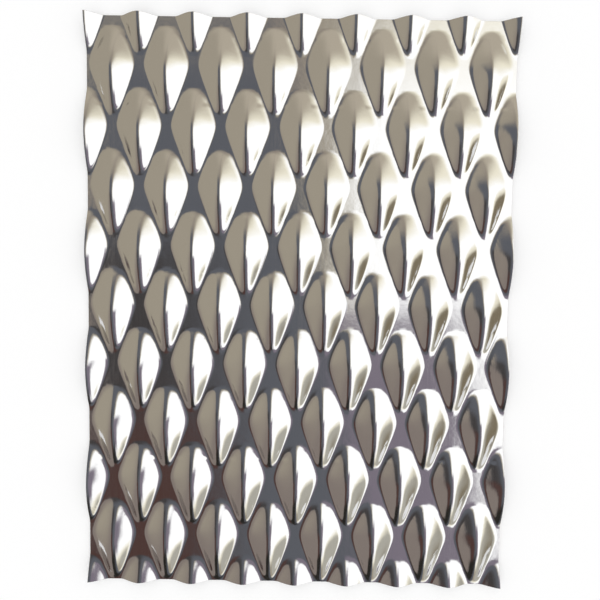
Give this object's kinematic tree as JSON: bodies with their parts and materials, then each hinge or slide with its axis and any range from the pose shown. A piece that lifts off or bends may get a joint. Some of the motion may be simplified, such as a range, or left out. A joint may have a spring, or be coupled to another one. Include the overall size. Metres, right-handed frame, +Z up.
{
  "type": "embossed stainless steel sheet",
  "caption": "Bright polished stainless steel sheet with staggered rows of raised leaf-shaped bosses pressed up from below, sheared square and lying flat.",
  "frame": {"origin": "middle of the underside, in the plane that rests on the floor", "axes": "+Z up through the sheet, +Y along the bosses from their sharp toes to their rounded heads, +X across the bosses"},
  "size_m": [0.1012, 0.136, 0.0028],
  "materials": {
    "embossed_sheet": "bright polished stainless steel, faint rolling texture"
  },
  "bodies": {
    "root": {"embossed_sheet": "embossed_sheet"}
  },
  "joints": []
}
